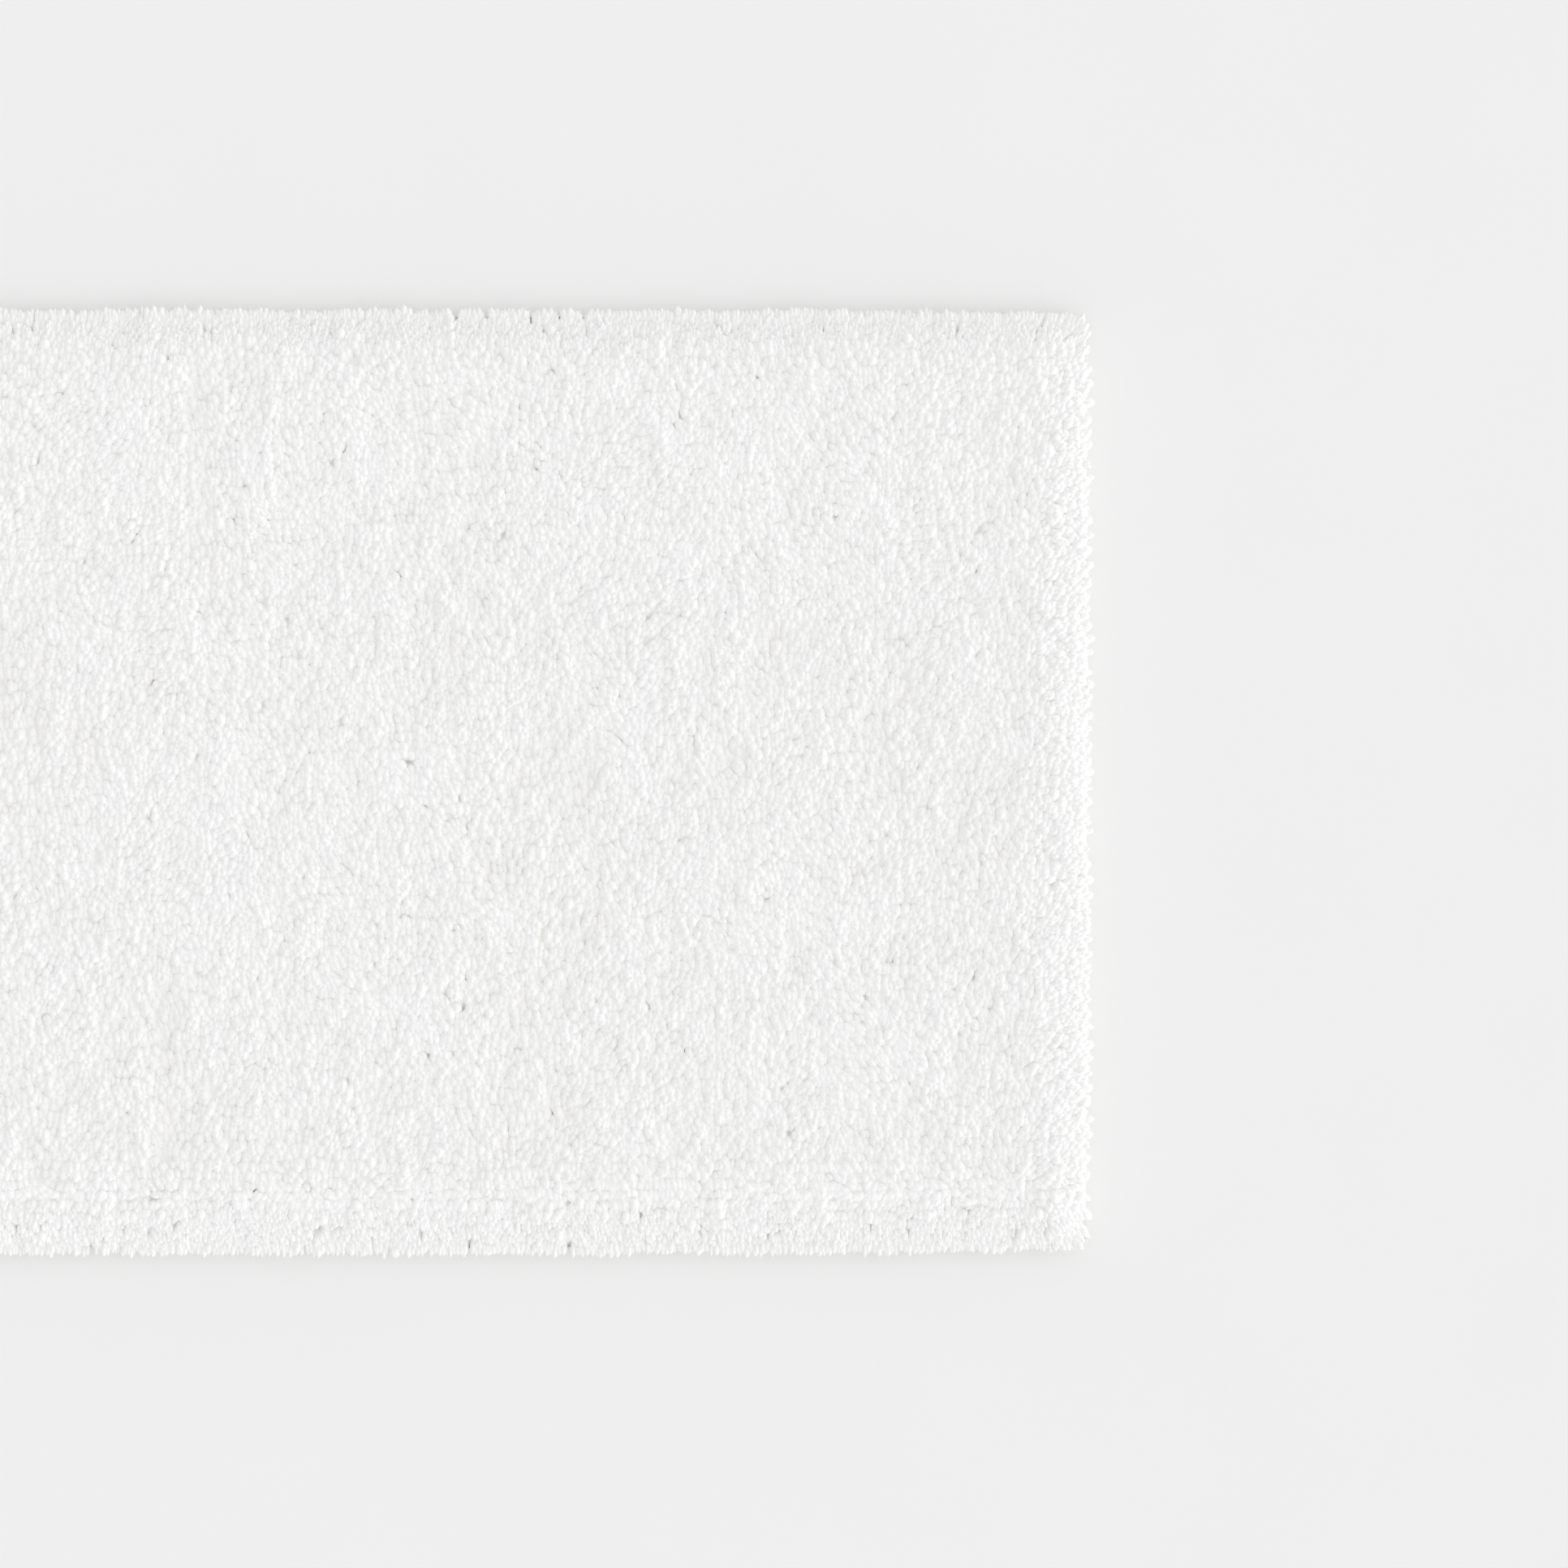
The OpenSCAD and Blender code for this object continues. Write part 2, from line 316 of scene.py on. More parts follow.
pile = {
    "gauge": 4.0 * mm,            # from row to row
    "stitch": 4.6 * mm,           # from tuft to tuft along a row
    "legSplay": 1.15 * mm,        # the two cut ends of a tuft stand this far either side of it
    "fringe": 13 * mm,            # near the hem the yarn opens into more and thinner ends
    "fringeSpread": 4 * mm,       # how gradually it does so
    "sideEnds": 0.85,             # how thick those at the ends of the rows are beside the others
    "rowEnds": 0.62,              # and those of the outermost rows
    "footInset": 3.0 * mm,        # outermost feet, in from the fold of the backing
    "fanWidth": 36 * mm,
    "waver": 1.2 * mm,            # of the outline
    "tipInset": (0.3 * mm, 1.0 * mm),  # outermost tips, in from the CAD pile's ends and sides
    "hemClear": 6 * mm,           # no row stands nearer to the long folds than this
    "shorn": 0.965,               # share of the full length that shearing leaves
    "unevenWide": 0.02,           # how unevenly it was shorn, from place to place
    "unevenClose": 0.045,         # and from tuft to tuft
    "edgeWear": 0.2,              # how much shorter the pile is at its edges
    "wearWidth": 22 * mm,
    "yarnRadius": 3.3 * mm,       # where a cut end blooms
    "sweep": 7.0 * mm,            # how far the brushed tips lie over, along the mat's width
    "swirl": 3.1 * mm,
    "streak": 3.2 * mm,
    "jitter": 0.9 * mm,           # of the tips
    "footJitter": (0.25 * mm, 0.6 * mm),
    "lengthJitter": 0.16 * mm,
    "thickness": (0.6, 1.25),     # from the thinnest strands to the thickest, beside the yarn's radius
    "oval": 1.6,                  # how much longer than wide a cut end looks, the way it lies
    "bend": 2.5,                  # 1 is a straight strand, more bends nearer its tip
    "clumpSize": 10.0 * mm,
    "clumpPull": 0.14,
    "cornerPull": 2.4 * mm,       # the hem draws the corners in
    "cornerRound": 10 * mm,       # the corner most handled; the others are half as round
    "packedShare": 0.87,          # below this share of their length the strands press together
    "packedCell": 2.6 * mm,
    "packedLumps": 0.45 * mm,
    "thinSpots": 420,             # places where the tufts part and the pile looks dark
    "edgeSpots": 160,             # and such places along the outermost rows
    "spotSize": (1.4 * mm, 2.6 * mm),
    "spotDepth": 4 * mm,
    "bands": 16,
    "sides": 6,
    "twist": 0.4,                 # radians from one ring of a strand to the next
    "rings": ((0.0, 0.3), (0.66, 0.78), (0.85, 1.0), (0.945, 0.84)),  # place along a strand, thickness
}

backLow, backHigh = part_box("primary_backing")
pileLow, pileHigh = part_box("pile_rows")
pileLength = pileHigh.z - pileLow.z
rowCount = 2 * int((backHigh.y - pile["hemClear"]) / pile["gauge"]) + 1
footL = backHigh.x - pile["footInset"]
footW = (rowCount - 1) / 2 * pile["gauge"]
tipL = pileHigh.x - pile["tipInset"][0]
tipW = pileHigh.y - pile["tipInset"][1]


def pileMaterial():
    look = Look("cutPileYarn")
    place = look.place()
    tone, along = look.attribute("tone"), look.attribute("along")
    cloud = look.noise(place * (1.0, 0.6, 1.0), 60.0, 4.0, 0.65)
    base = look.blend(cloud.step(0.38, 0.62), (0.984, 0.983, 0.977), (0.982, 0.985, 0.987))
    base = look.blend(tone * 0.4, base, (0.99, 0.99, 0.989))
    # painted shade: lower down each strand, towards its root, and on the packed yarn, the yarn is painted
    # darker and warmer, as shade deep in the pile
    base = look.blend(along.step(0.97, 0.8) * 0.8, base, (0.974, 0.966, 0.952))
    spoke = look.node("ShaderNodeCombineXYZ", {},
                      {"X": look.attribute("spokeX"), "Y": look.attribute("spokeY"), "Z": along * 2.5})
    fibre = look.noise(spoke + tone * 90, 3.2, 2.0, 0.6)
    # painted shade: the gaps between the fibre streaks, where the bump from the same noise is low, are
    # painted darker
    base = look.blend(fibre.step(0.5, 0.3) * 0.5, base, (0.955, 0.948, 0.93))
    return look.finish(Base_Color=base, Roughness=0.85 + fibre * 0.15, Specular_IOR_Level=0.1,
                       Sheen_Weight=0.15, Sheen_Roughness=0.5, Normal=look.bump(fibre, 0.6, 0.0005))


def clumpPull(x, y, size, seed):  # from each tip to the middle of the clump that it belongs to
    rng = np.random.default_rng(seed)
    jitterX, jitterY = rng.uniform(0.1, 0.9, (2, 256, 256))
    i, j = np.floor(x / size).astype(int), np.floor(y / size).astype(int)
    best, toX, toY = np.full(x.shape, 1e9), np.zeros(x.shape), np.zeros(x.shape)
    for di in (-1, 0, 1):
        for dj in (-1, 0, 1):
            a, b = (i + di) % 256, (j + dj) % 256
            dx = (i + di + jitterX[a, b]) * size - x
            dy = (j + dj + jitterY[a, b]) * size - y
            nearer = dx * dx + dy * dy < best
            best = np.where(nearer, dx * dx + dy * dy, best)
            toX, toY = np.where(nearer, dx, toX), np.where(nearer, dy, toY)
    return toX, toY


def brushed(x, y):  # how far the tips lie over at a place: a sweep, long streaks and swirls
    p = pile
    leanX = p["streak"] * latticeNoise(x, y, 34 * mm, 190 * mm, 2)
    leanX += p["swirl"] * latticeNoise(x, y, 16 * mm, 22 * mm, 3)
    leanX += 0.6 * p["swirl"] * latticeNoise(x, y, 8 * mm, 11 * mm, 4)
    leanY = p["sweep"] * (0.9 + 0.35 * latticeNoise(x, y, 45 * mm, 60 * mm, 1))
    leanY += p["swirl"] * latticeNoise(x, y, 15 * mm, 24 * mm, 5)
    return leanX, leanY


def fanned(x, y):  # how far the tufts lean out past the backing near its edges, and the brushing left there
    edgeX = np.clip(1 - (footL - np.abs(x)) / pile["fanWidth"], 0, 1) ** 1.5
    edgeY = np.clip(1 - (footW - np.abs(y)) / pile["fanWidth"], 0, 1) ** 1.5
    waver = pile["waver"] * latticeNoise(x, y, 19 * mm, 19 * mm, 8)
    outX = np.sign(x) * edgeX * (tipL - footL + waver)
    outY = np.sign(y) * edgeY * (tipW - footW + waver)
    return outX, outY, 1 - np.maximum(edgeX, edgeY) ** 0.7


def cropped(x, y):  # length of the pile at a place: shorn a little unevenly, and worn at the edges
    toEdge = np.minimum(footL - np.abs(x), footW - np.abs(y))
    worn = pile["edgeWear"] * np.clip(1 - toEdge / pile["wearWidth"], 0, 1) ** 2
    uneven = pile["unevenWide"] * latticeNoise(x, y, 60 * mm, 60 * mm, 6)
    uneven += pile["unevenClose"] * latticeNoise(x, y, 8 * mm, 14 * mm, 9)
    return pileLength * (pile["shorn"] + uneven - worn)


def drawnIn(x, y):  # the hem draws the corners in a little, and rounds them
    a, b = np.clip(np.abs(x) / pileHigh.x, 0, 1), np.clip(np.abs(y) / pileHigh.y, 0, 1)
    x = x - np.sign(x) * pile["cornerPull"] * 0.4 * b ** 6 * a ** 4
    y = y - np.sign(y) * pile["cornerPull"] * a ** 6 * b ** 4
    bow = np.where((x > 0) & (y > 0), 1.0, 0.5) * pile["cornerRound"]
    return cornersRounded(x, y, pileHigh.x, pileHigh.y, bow)


def thinness(x, y):  # 1 in the middle of a thin spot, 0 away from it
    rng = np.random.default_rng(12)
    spots = rng.uniform(-1, 1, (pile["thinSpots"], 2)) * (footL, footW)
    edge = rng.uniform(-1, 1, (pile["edgeSpots"], 2)) * (footL, 4 * mm)
    edge[:, 1] += np.where(np.arange(len(edge)) % 4, 1, -1) * (footW - 4 * mm)
    near = np.full(len(x), 9.0)
    wide, long = pile["spotSize"]
    for spotX, spotY in np.concatenate([spots, edge]):
        near = np.minimum(near, np.hypot((x - spotX) / wide, (y - spotY) / long))
    return np.exp(-near ** 2)


def standing(out, length):  # a strand keeps its length, so one that leans stands lower
    reach = np.hypot(out[:, 0], out[:, 1])
    return np.sqrt(np.maximum(length ** 2 - reach ** 2, (0.55 * length) ** 2))


def strandMesh(name, foot, tip, length, radius, tone, material):
    # each strand stands up from its foot, bends over to its tip and ends in a round cut end
    count, sides, rings, bend = len(foot), pile["sides"], pile["rings"], pile["bend"]
    size = len(rings) * sides + 1
    out = tip - foot
    reach = np.maximum(np.hypot(out[:, 0], out[:, 1]), 1e-6)
    height = standing(out, length)
    across = np.stack([-out[:, 1] / reach, out[:, 0] / reach, np.zeros(count)], 1)
    points, spokes = np.zeros((count, size, 3)), np.zeros((size, 2))
    wide, long = pile["oval"] ** -0.5, pile["oval"] ** 0.5
    for k, (t, thickness) in enumerate(rings):
        centre = np.column_stack([foot + out * t ** bend, pileLow.z + height * t])
        slope = np.column_stack([out * bend * t ** (bend - 1), height])
        slope /= np.linalg.norm(slope, axis=1)[:, None]
        inward = np.cross(slope, across)
        for j in range(sides):
            turn = j / sides * 2 * math.pi + pile["twist"] * k
            spoke = math.cos(turn) * wide * across + math.sin(turn) * long * inward
            points[:, k * sides + j] = centre + radius[:, None] * thickness * spoke
            spokes[k * sides + j] = (math.cos(turn), math.sin(turn))
    points[:, -1] = np.column_stack([tip, pileLow.z + height]) + slope * radius[:, None] * 0.1
    last = size - 1 - sides
    caps = [[last + (j + 1) % sides, last + j, size - 1] for j in range(sides)]
    feet = [[0, j, j + 1] for j in range(1, sides - 1)]
    steps = np.append(np.repeat([t for t, thickness in rings], sides), 1.0)
    return meshFrom(name, points, repeated(gridQuads(len(rings), sides, closedColumns=True), count, size),
                    repeated(caps + feet, count, size), material,
                    {"along": np.tile(steps, count), "tone": np.repeat(tone, size),
                     "spokeX": np.tile(spokes[:, 0], count), "spokeY": np.tile(spokes[:, 1], count)})


def packedYarn(material):  # the lower part of the pile, where the strands press against one another
    share, cell = pile["packedShare"], pile["packedCell"]
    nx, ny = (int(half / cell) | 1 for half in (2 * footL, 2 * footW))
    x, y = np.meshgrid(np.linspace(-footL, footL, nx), np.linspace(-footW, footW, ny), indexing="ij")
    x, y = x.ravel(), y.ravel()
    leanX, leanY = brushed(x, y)
    outX, outY, keep = fanned(x, y)
    out = np.column_stack([leanX * keep + outX, leanY * keep + outY])
    lumps = pile["packedLumps"] * np.random.default_rng(5).standard_normal(len(x))
    height = standing(out, cropped(x, y)) * share + lumps - pile["spotDepth"] * thinness(x, y)
    topX, topY = drawnIn(x + out[:, 0] * share ** pile["bend"], y + out[:, 1] * share ** pile["bend"])
    rim = gridRim(nx, ny)
    footX, footY = drawnIn(x[rim] * 0.997, y[rim] * 0.995)
    top = np.column_stack([topX, topY, pileLow.z + height])
    waist = np.column_stack([footX * 0.4 + topX[rim] * 0.6, footY * 0.4 + topY[rim] * 0.6,
                             pileLow.z + height[rim] * 0.6])
    foot = np.column_stack([footX, footY, np.full(len(rim), pileLow.z)])
    points = np.concatenate([top, waist, foot, [[0, 0, pileLow.z]]])
    edge = np.arange(len(rim))
    after = np.roll(edge, -1)
    w, f = nx * ny, nx * ny + len(rim)
    quads = [gridQuads(nx, ny)[:, ::-1], np.column_stack([rim, rim[after], w + after, w + edge]),
             np.column_stack([w + edge, w + after, f + after, f + edge])]
    fan = np.column_stack([f + edge, f + after, np.full(len(rim), len(points) - 1)])
    fibreX, fibreY = points[:, 0] / (1.2 * mm), points[:, 1] / (2.4 * mm)
    marks = {"along": share, "tone": 0.5, "spokeX": fibreX, "spokeY": fibreY}
    return meshFrom("packedYarn", points, np.concatenate(quads), fan, material, marks)


def makePile():
    p = pile
    material = pileMaterial()
    rng = np.random.default_rng(7)
    places = np.arange(rowCount) - (rowCount - 1) / 2
    tufts = int(2 * footL / p["stitch"])
    y = places[:, None] * p["gauge"] + np.zeros((1, tufts))
    x = (np.arange(tufts) - (tufts - 1) / 2)[None, :] * (2 * footL / tufts) + np.zeros((len(places), 1))
    x = x + (np.arange(len(places)) % 2 - 0.5)[:, None] * p["stitch"] / 2
    x = np.stack([x - p["legSplay"], x + p["legSplay"]], 2).ravel()
    y = np.stack([y, y], 2).ravel()
    fringe = p["fringe"] + rng.normal(0, p["fringeSpread"], len(x))
    outer = np.abs(y) > footW - fringe
    ending = (np.abs(x) > footL - fringe) & ~outer
    ends = [(x[~outer & ~ending], y[~outer & ~ending], 1.0)]
    stepX, stepY = p["legSplay"], p["gauge"] / 2
    between = ((0, 0), (stepX, stepY), (stepX, 0), (0, stepY))
    for pick, thickness, shifts in ((ending, p["sideEnds"], between[:2]), (outer, p["rowEnds"], between)):
        inX, inY = -np.sign(x[pick]), -np.sign(y[pick])
        ends += [(x[pick] + inX * shiftX, y[pick] + inY * shiftY, thickness) for shiftX, shiftY in shifts]
    thin = np.concatenate([np.full(len(group[0]), group[2]) for group in ends])
    x, y = (np.concatenate([group[k] for group in ends]) for k in (0, 1))
    count = len(x)
    strayX, strayY = p["footJitter"]
    x = np.clip(x + rng.normal(0, strayX, count), -footL, footL)
    y = y + rng.normal(0, strayY, count)

    leanX, leanY = brushed(x, y)
    outX, outY, keep = fanned(x, y)
    stray = p["jitter"] * thin ** 1.5
    tipX = x + leanX * keep + outX + rng.normal(0, 1, count) * stray
    tipY = y + leanY * keep + outY + rng.normal(0, 1, count) * stray
    pullX, pullY = clumpPull(tipX, tipY, p["clumpSize"], 11)
    tipX += pullX * p["clumpPull"] * (0.3 + 0.7 * keep)
    tipY += pullY * p["clumpPull"] * (0.3 + 0.7 * keep)
    thick = thinness(x, y) < 0.5
    length = cropped(x, y) + rng.normal(0, p["lengthJitter"], count)
    x, y = drawnIn(x, y)
    tipX, tipY = drawnIn(tipX, tipY)
    radius = p["yarnRadius"] * rng.uniform(*p["thickness"], count) * thin
    tone = rng.uniform(0, 1, count)
    pieces = [packedYarn(material)]
    order = np.argsort(y, kind="stable")
    order = order[thick[order]]
    for b, pick in enumerate(np.array_split(order, p["bands"])):
        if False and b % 4:
            continue
        foot, tip = np.column_stack([x[pick], y[pick]]), np.column_stack([tipX[pick], tipY[pick]])
        name = f"pileRows{b + 1:02d}"
        pieces.append(strandMesh(name, foot, tip, length[pick], radius[pick], tone[pick], material))
    for piece in pieces:
        settle(piece, "pile_rows")
    print("pile ready:", int(thick.sum()), "strands")


hem = {
    "margin": 18 * mm,            # width of the cloth turned under
    "clothThickness": 0.8 * mm,
    "cornerRadius": 6 * mm,
    "pucker": 0.2 * mm,           # how far the stitches draw the fold in and out
    "stitchPitch": 6 * mm,
    "stitchGap": 1.4 * mm,
    "threadRadius": 0.225 * mm,
    "grooveWidth": 0.9 * mm,
    "grooveDepth": 0.46 * mm,     # where a stitch lies in a tape
    "holeDepth": 0.2 * mm,        # deeper by this at each needle hole
    "backGroove": 0.5 * mm,       # half the width of a groove in the backing, and its depth
    "tapeInset": 2.5 * mm,
    "tapeWidth": 24 * mm,
    "tapeThickness": 1.0 * mm,
    "stitchInset": 3 * mm,
    "mitreGap": 0.1 * mm,
    "alongStep": 1.5 * mm,
}

latexLow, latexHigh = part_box("latex_coat")
outerRow = hem["tapeInset"] + hem["stitchInset"]
innerRow = hem["tapeInset"] + hem["tapeWidth"] - hem["stitchInset"]
tapeEnd = hem["tapeInset"] + hem["tapeWidth"]


def stitchRuns(length, inset):  # where the stitches of one row stand along a side, measured from its middle
    run = length - 2 * inset - hem["grooveWidth"]
    n = int(run / hem["stitchPitch"])
    return (np.arange(n) - (n - 1) / 2) * hem["stitchPitch"]


def roundedPath(radius, step):
    # points round the fold: where each turns about, the way out from there, and how far round it is
    a, b = backHigh.x - radius, backHigh.y - radius
    core, out = [], []
    for cx, cy, start in ((a, b, 0), (-a, b, 90), (-a, -b, 180), (a, -b, 270)):
        for turn in np.radians(start + np.linspace(0, 90, 9)):
            core.append((cx, cy))
            out.append((math.cos(turn), math.sin(turn)))
        nextX, nextY = -cy * a / b, cx * b / a
        n = int(math.hypot(nextX - cx, nextY - cy) / step)
        for k in range(1, n):
            core.append((cx + (nextX - cx) * k / n, cy + (nextY - cy) * k / n))
            out.append(out[-1])
    core, out = np.array(core), np.array(out)
    places = core + out * radius
    along = np.concatenate([[0], np.cumsum(np.linalg.norm(np.diff(places, axis=0), axis=1))])
    return core, out, along


def backingMaterial():
    look = Look("backingCloth")
    warp, weft = look.attribute("warp"), look.attribute("weft")
    pitch = 0.9 * mm
    checks = (warp * (math.pi / pitch)).math("SINE") * (weft * (math.pi / pitch)).math("SINE")
    over = checks.step(-0.15, 0.15)
    weave = warp.ridge(pitch) * over + weft.ridge(pitch) * (1 - over)
    slub = look.noise(look.place() * (1.0, 14.0, 1.0), 30.0, 3.0)
    base = look.blend(slub, (0.80, 0.775, 0.715), (0.87, 0.855, 0.81))
    # painted shade: the hollows between the woven threads, where the weave is low, are painted darker and
    # browner
    base = look.blend((1 - weave).clamp() * 0.35, base, (0.62, 0.59, 0.52))
    return look.finish(Base_Color=base, Roughness=0.8 + slub * 0.15, Specular_IOR_Level=0.25,
                       Sheen_Weight=0.15, Normal=look.bump(weave, 0.7, 0.00025))


def makeBacking():
    h = hem
    radius, cloth = h["cornerRadius"], h["clothThickness"]
    core, out, along = roundedPath(radius, 2.0 * mm)
    low, high = backLow.z, backHigh.z
    half, middle = (high - low) / 2, (high + low) / 2
    groove = h["backGroove"]
    outer = [(tapeEnd, high)]
    for row in (innerRow, outerRow):
        outer += [(row + groove, high), (row, high - groove), (row - groove, high)]
    outer += [(half - half * math.sin(t), middle + half * math.cos(t)) for t in np.linspace(0, math.pi, 7)]
    outer += [(outerRow, low), (12 * mm, low), (h["margin"], low)]
    inner = [(h["margin"], low + cloth), (12 * mm, low + cloth)]
    within = half - cloth
    turns = np.linspace(0, math.pi, 5)
    inner += [(half - within * math.sin(t), middle - within * math.cos(t)) for t in turns]
    inner += [(outerRow, high - cloth), (tapeEnd, high - cloth)]
    profile = np.array(outer + inner)
    inset, z = profile[:, 0], profile[:, 1]
    draw = h["pucker"] * np.cos(along[:, None] / h["stitchPitch"] * 2 * math.pi) * np.exp(-inset / (3 * mm))
    beyond = np.maximum(inset, radius)
    scaleX = (backHigh.x - beyond) / (backHigh.x - radius)
    scaleY = (backHigh.y - beyond) / (backHigh.y - radius)
    push = np.maximum(radius - inset, 0)[None, :] - draw * (inset < radius) - h["pucker"]
    push = np.where(inset < radius, push, 0)
    x = core[:, :1] * scaleX + out[:, :1] * push
    y = core[:, 1:] * scaleY + out[:, 1:] * push
    points = np.stack([x, y, np.broadcast_to(z, x.shape)], -1)
    rows, columns = points.shape[:2]
    points = np.concatenate([points.reshape(-1, 3), [[0, 0, high], [0, 0, high - cloth]]])
    ring = np.arange(rows)
    after = np.roll(ring, -1)
    top = np.column_stack([after * columns, ring * columns, np.full(rows, len(points) - 2)])
    under = np.column_stack([ring * columns + columns - 1, after * columns + columns - 1,
                             np.full(rows, len(points) - 1)])
    length = np.concatenate([[0], np.cumsum(np.hypot(np.diff(inset), np.diff(z)))])
    warp = np.append((core[:, :1] + out[:, :1] * length).ravel(), [0, 0])
    weft = np.append((core[:, 1:] + out[:, 1:] * length).ravel(), [0, 0])
    piece = meshFrom("primaryBacking", points, gridQuads(rows, columns, closedRows=True),
                     np.concatenate([top, under]), backingMaterial(), {"warp": warp, "weft": weft})
    settle(piece, "primary_backing")
    print("backing ready")
    return piece


latex = {
    "ribDepth": 0.25 * mm,        # the back stitches show through as ribs
    "stepX": 7.2 * mm,
    "stepY": 1.0 * mm,
    "clearance": 0.6 * mm,        # from the inside of the fold
    "dotDiameter": 6 * mm,
    "dotPitch": 24 * mm,
    "dotClear": 6 * mm,
    "dotSides": 14,
    "dotProfile": ((0.62, 0.0), (0.84, 0.06), (0.97, 0.27), (1.0, 0.55),  # share of radius, of height
                   (1.02, 0.82), (1.12, 1.0), (1.0, 1.15)),
}


def latexMaterial():
    look = Look("latexCoat")
    place = look.place()
    grain = look.part(place, "X").ridge(pile["stitch"]) * (1 - look.part(place, "Y").ridge(pile["gauge"]))
    pebble = look.noise(place, 900.0, 3.0, 0.6)
    cloud = look.noise(place, 22.0, 3.0)
    base = look.blend(cloud, (0.83, 0.815, 0.77), (0.88, 0.87, 0.835))
    base = look.blend(grain * 0.4, base, (0.93, 0.925, 0.905))
    return look.finish(Base_Color=base, Roughness=0.42 + cloud * 0.2, Specular_IOR_Level=0.45,
                       Normal=look.bump(grain * 0.8 + pebble * 0.35, 0.8, 0.0004))


def gripMaterial():
    look = Look("gripLatex")
    place = look.place()
    skin = look.noise(place, 1400.0, 2.0)
    cloud = look.noise(place, 60.0, 2.0)
    base = look.blend(cloud, (0.80, 0.80, 0.775), (0.86, 0.86, 0.84))
    return look.finish(Base_Color=base, Roughness=0.3 + cloud * 0.15, Specular_IOR_Level=0.5,
                       Coat_Weight=0.15, Normal=look.bump(skin, 0.3, 0.0002))


def makeLatex():
    halfX, halfY = latexHigh.x - latex["clearance"], latexHigh.y - latex["clearance"]
    nx, ny = (int(2 * half / step) for half, step in ((halfX, latex["stepX"]), (halfY, latex["stepY"])))
    x, y = np.meshgrid(np.linspace(-halfX, halfX, nx), np.linspace(-halfY, halfY, ny), indexing="ij")
    toTape = np.minimum(backHigh.x - np.abs(x), backHigh.y - np.abs(y)) - tapeEnd
    fade = np.clip(toTape / (3 * mm), 0, 1)
    wobble = 0.12 * latticeNoise(x, y, 9 * mm, 3 * mm, 31)
    valley = 0.5 - 0.5 * np.cos(y / pile["gauge"] * 2 * math.pi) + wobble
    z = latexLow.z + latex["ribDepth"] * np.clip(valley, 0, 1) * fade
    x, y = cornersRounded(x, y, halfX, halfY, hem["cornerRadius"] - hem["clothThickness"])
    rim = gridRim(nx, ny)
    under = np.stack([x, y, z], -1).reshape(-1, 3)
    upper = under[rim] * (1, 1, 0) + (0, 0, latexHigh.z)
    points = np.concatenate([under, upper, [[0, 0, latexHigh.z]]])
    edge = np.arange(len(rim))
    after = np.roll(edge, -1)
    w = nx * ny
    quads = np.concatenate([gridQuads(nx, ny), np.column_stack([rim, w + edge, w + after, rim[after]])])
    fan = np.column_stack([w + edge, np.full(len(rim), len(points) - 1), w + after])
    piece = meshFrom("latexCoat", points, quads, fan, latexMaterial())
    settle(piece, "latex_coat")
    print("latex ready")


def dotPlaces():  # staggered, clear of the tape and of the label
    clear = tapeEnd + latex["dotClear"] + latex["dotDiameter"] / 2
    reachX, reachY = backHigh.x - clear, backHigh.y - clear
    pitch = latex["dotPitch"]
    line = pitch * math.sin(math.radians(60))
    nx, ny = int(reachX / pitch), int(reachY / line)
    labelLow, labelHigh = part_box("care_label")
    keepOff = latex["dotDiameter"] / 2 + latex["dotClear"] / 2
    places = []
    for j in range(-ny, ny + 1):
        for i in range(-nx - 1, nx + 1):
            x, y = (i + abs(j % 2) / 2) * pitch, j * line
            byLabel = x > labelLow.x - keepOff and labelLow.y - keepOff < y < labelHigh.y + keepOff
            if abs(x) <= reachX and not byLabel:
                places.append((x, y))
    return np.array(places)


def makeDots():
    places, sides = dotPlaces(), latex["dotSides"]
    rng = np.random.default_rng(21)
    radius = latex["dotDiameter"] / 2 * rng.uniform(0.96, 1.03, len(places))
    turn = np.arange(sides) / sides * 2 * math.pi
    size = len(latex["dotProfile"]) * sides + 2
    points = np.zeros((len(places), size, 3))
    for k, (share, rise) in enumerate(latex["dotProfile"]):
        ring = points[:, k * sides:(k + 1) * sides]
        ring[:, :, 0] = places[:, :1] + radius[:, None] * share * np.cos(turn)
        ring[:, :, 1] = places[:, 1:] + radius[:, None] * share * np.sin(turn)
        ring[:, :, 2] = rise * latexLow.z
    points[:, -2:, :2] = places[:, None, :]
    points[:, -1, 2] = latex["dotProfile"][-1][1] * latexLow.z
    last = size - 2 - sides
    caps = [[j, (j + 1) % sides, size - 2] for j in range(sides)]
    caps += [[last + (j + 1) % sides, last + j, size - 1] for j in range(sides)]
    quads = gridQuads(len(latex["dotProfile"]), sides, closedColumns=True)
    piece = meshFrom("gripDots", points, repeated(quads, len(places), size),
                     repeated(caps, len(places), size), gripMaterial())
    settle(piece, "grip_dots")
    print("grip dots ready:", len(places))


def ribbonMesh(name, outer, inner, material, marks):
    # a closed band from its two faces, given as points for each section along it
    loop = np.concatenate([outer, inner[:, ::-1]], 1)
    rows, columns = loop.shape[:2]
    half = columns // 2
    k = np.arange(half - 1)
    end = np.column_stack([k, k + 1, columns - 2 - k, columns - 1 - k])
    quads = np.concatenate([gridQuads(rows, columns, closedColumns=True), end,
                            end[:, ::-1] + (rows - 1) * columns])
    flat = {label: np.concatenate([v, v[:, ::-1]], 1) for label, v in marks.items()}
    return meshFrom(name, loop, quads, [], material, flat)


sides = {
    "front": (0, "x"),            # quarter turns from the front side, and the axis that it runs along
    "right": (1, "y"),
    "back": (2, "x"),
    "left": (3, "y"),
}


